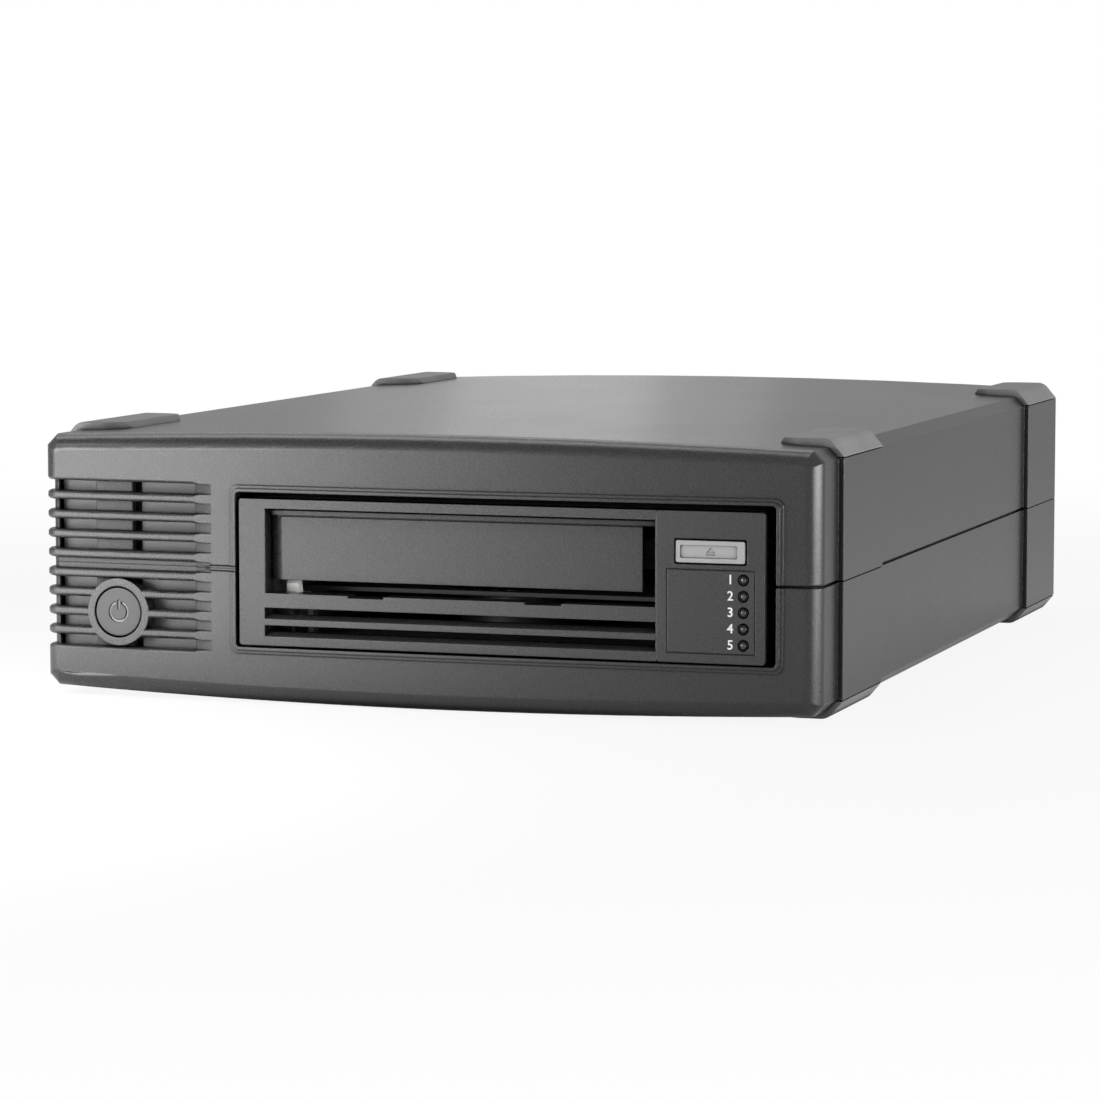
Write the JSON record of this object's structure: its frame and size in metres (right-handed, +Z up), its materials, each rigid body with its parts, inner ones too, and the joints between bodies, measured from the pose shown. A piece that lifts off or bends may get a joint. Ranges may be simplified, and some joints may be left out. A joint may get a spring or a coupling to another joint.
{
  "type": "data tape drive",
  "caption": "Desktop tape drive in a bowed two-part moulded case with louvres, power button, four foot caps, and a half-height drive with a flap door, eject button and lamps.",
  "frame": {"origin": "centre of the footprint, on the floor under the foot caps", "axes": "+X to the viewer's right when facing the front, +Y to the back, +Z up"},
  "size_m": [0.225, 0.3074, 0.0746],
  "materials": {
    "case_plastic": "fine texture",
    "foot_rubber": "matt",
    "inner_plastic": "matt",
    "bezel_plastic": "fine texture",
    "panel_plastic": "satin",
    "black_plastic": "satin",
    "white_plastic": "satin",
    "silver_plastic": "satin",
    "lamp_plastic": "clear",
    "board": "lacquered",
    "cast_metal": "cast",
    "sheet_metal": "zinc plated",
    "panel_metal": "powder coat",
    "machined": "turned",
    "clear_plastic": "moulded",
    "screw_steel": "zinc plated",
    "pin_metal": "plated",
    "cable": "flat cable"
  },
  "bodies": {
    "case": {"board_chips": "black_plastic", "board_screws": "screw_steel", "bottom_feet": "foot_rubber", "case_screws": "screw_steel", "control_panel": "panel_plastic", "cradle_screws": "screw_steel", "data_cable": "cable", "data_ports": "sheet_metal", "drive_bezel": "bezel_plastic", "drive_chassis": "cast_metal", "drive_connector": "black_plastic", "drive_cover": "sheet_metal", "drive_cradle": "sheet_metal", "drive_screws": "screw_steel", "fan_frame": "black_plastic", "front_board": "board", "head_base": "cast_metal", "inlet_pins": "pin_metal", "link_board": "board", "loader_motor": "sheet_metal", "lower_shell": "case_plastic", "main_board": "board", "mains_wires": "cable", "panel_screws": "screw_steel", "power_inlet": "black_plastic", "power_switch": "black_plastic", "psu_board": "board", "psu_capacitors": "black_plastic", "psu_heatsinks": "cast_metal", "psu_transformer": "black_plastic", "rear_panel": "panel_metal", "reel_motors": "black_plastic", "status_lights": "lamp_plastic", "top_feet": "foot_rubber", "upper_shell": "case_plastic", "vent_baffle": "inner_plastic"},
    "cartridge_door_body": {"cartridge_door": "bezel_plastic"},
    "cartridge_tray_body": {"cartridge_tray": "sheet_metal"},
    "eject_button_body": {"eject_button": "silver_plastic"},
    "entry_lever_body": {"entry_lever": "white_plastic"},
    "fan_rotor_body": {"fan_rotor": "black_plastic"},
    "guide_roller_1_body": {"guide_roller_1": "machined"},
    "guide_roller_2_body": {"guide_roller_2": "machined"},
    "guide_roller_3_body": {"guide_roller_3": "machined"},
    "guide_roller_4_body": {"guide_roller_4": "machined"},
    "head_carriage_body": {"head_carriage": "machined"},
    "loader_gear_body": {"loader_gear": "white_plastic"},
    "power_button_body": {"power_button": "case_plastic"},
    "supply_chuck_body": {"supply_chuck": "white_plastic"},
    "takeup_reel_body": {"takeup_reel": "clear_plastic"},
    "threading_arm_body": {"threading_arm": "sheet_metal"}
  },
  "joints": [
    {"name": "power_button_press", "type": "slide", "parent": "case", "child": "power_button_body", "axis": [0, 1, 0], "range_m": [0, 0.0012], "stiffness_N_per_m": 400, "springref_m": -0.001},
    {"name": "eject_button_press", "type": "slide", "parent": "case", "child": "eject_button_body", "axis": [0, 1, 0], "range_m": [0, 0.0009], "stiffness_N_per_m": 400, "springref_m": -0.001},
    {"name": "door_swing", "type": "hinge", "parent": "case", "child": "cartridge_door_body", "pos_m": [0.0114, -0.14925, 0.05275], "axis": [1, 0, 0], "range_deg": [0, 88], "stiffness_Nm_per_rad": 0.004, "springref_deg": -20.05},
    {"name": "lever_press", "type": "hinge", "parent": "case", "child": "entry_lever_body", "pos_m": [-0.0391, -0.137, 0.0273], "axis": [1, 0, 0], "range_deg": [0, 25], "stiffness_Nm_per_rad": 0.004, "springref_deg": -20.05},
    {"name": "fan_spin", "type": "hinge", "parent": "case", "child": "fan_rotor_body", "pos_m": [0.062, 0.1375, 0.0373], "axis": [0, 1, 0], "continuous": true},
    {"name": "supply_spin", "type": "hinge", "parent": "case", "child": "supply_chuck_body", "pos_m": [0.0114, -0.092, 0.025], "axis": [0, 0, 1], "continuous": true},
    {"name": "takeup_spin", "type": "hinge", "parent": "case", "child": "takeup_reel_body", "pos_m": [0.045, 0.006, 0.03], "axis": [0, 0, 1], "continuous": true},
    {"name": "roller_1_spin", "type": "hinge", "parent": "case", "child": "guide_roller_1_body", "pos_m": [-0.036, -0.03, 0.037], "axis": [0, 0, 1], "continuous": true},
    {"name": "roller_2_spin", "type": "hinge", "parent": "case", "child": "guide_roller_2_body", "pos_m": [-0.03, -0.014, 0.037], "axis": [0, 0, 1], "continuous": true},
    {"name": "roller_3_spin", "type": "hinge", "parent": "case", "child": "guide_roller_3_body", "pos_m": [-0.03, 0.026, 0.037], "axis": [0, 0, 1], "continuous": true},
    {"name": "roller_4_spin", "type": "hinge", "parent": "case", "child": "guide_roller_4_body", "pos_m": [-0.012, 0.038, 0.037], "axis": [0, 0, 1], "continuous": true},
    {"name": "head_step", "type": "slide", "parent": "case", "child": "head_carriage_body", "axis": [0, 0, 1], "range_m": [-0.002, 0.002]},
    {"name": "arm_swing", "type": "hinge", "parent": "case", "child": "threading_arm_body", "pos_m": [-0.005, 0.002, 0.04505], "axis": [0, 0, -1], "range_deg": [0, 212]},
    {"name": "tray_load", "type": "slide", "parent": "case", "child": "cartridge_tray_body", "axis": [0, 1, 0], "range_m": [0, 0.015]},
    {"name": "loader_spin", "type": "hinge", "parent": "case", "child": "loader_gear_body", "pos_m": [0.0811, -0.085, 0.0459], "axis": [0, 0, -1], "range_deg": [0, 122.78]}
  ],
  "couplings": [
    {"joint": "loader_spin", "follows": "tray_load", "rad_per_m": 142.86}
  ]
}
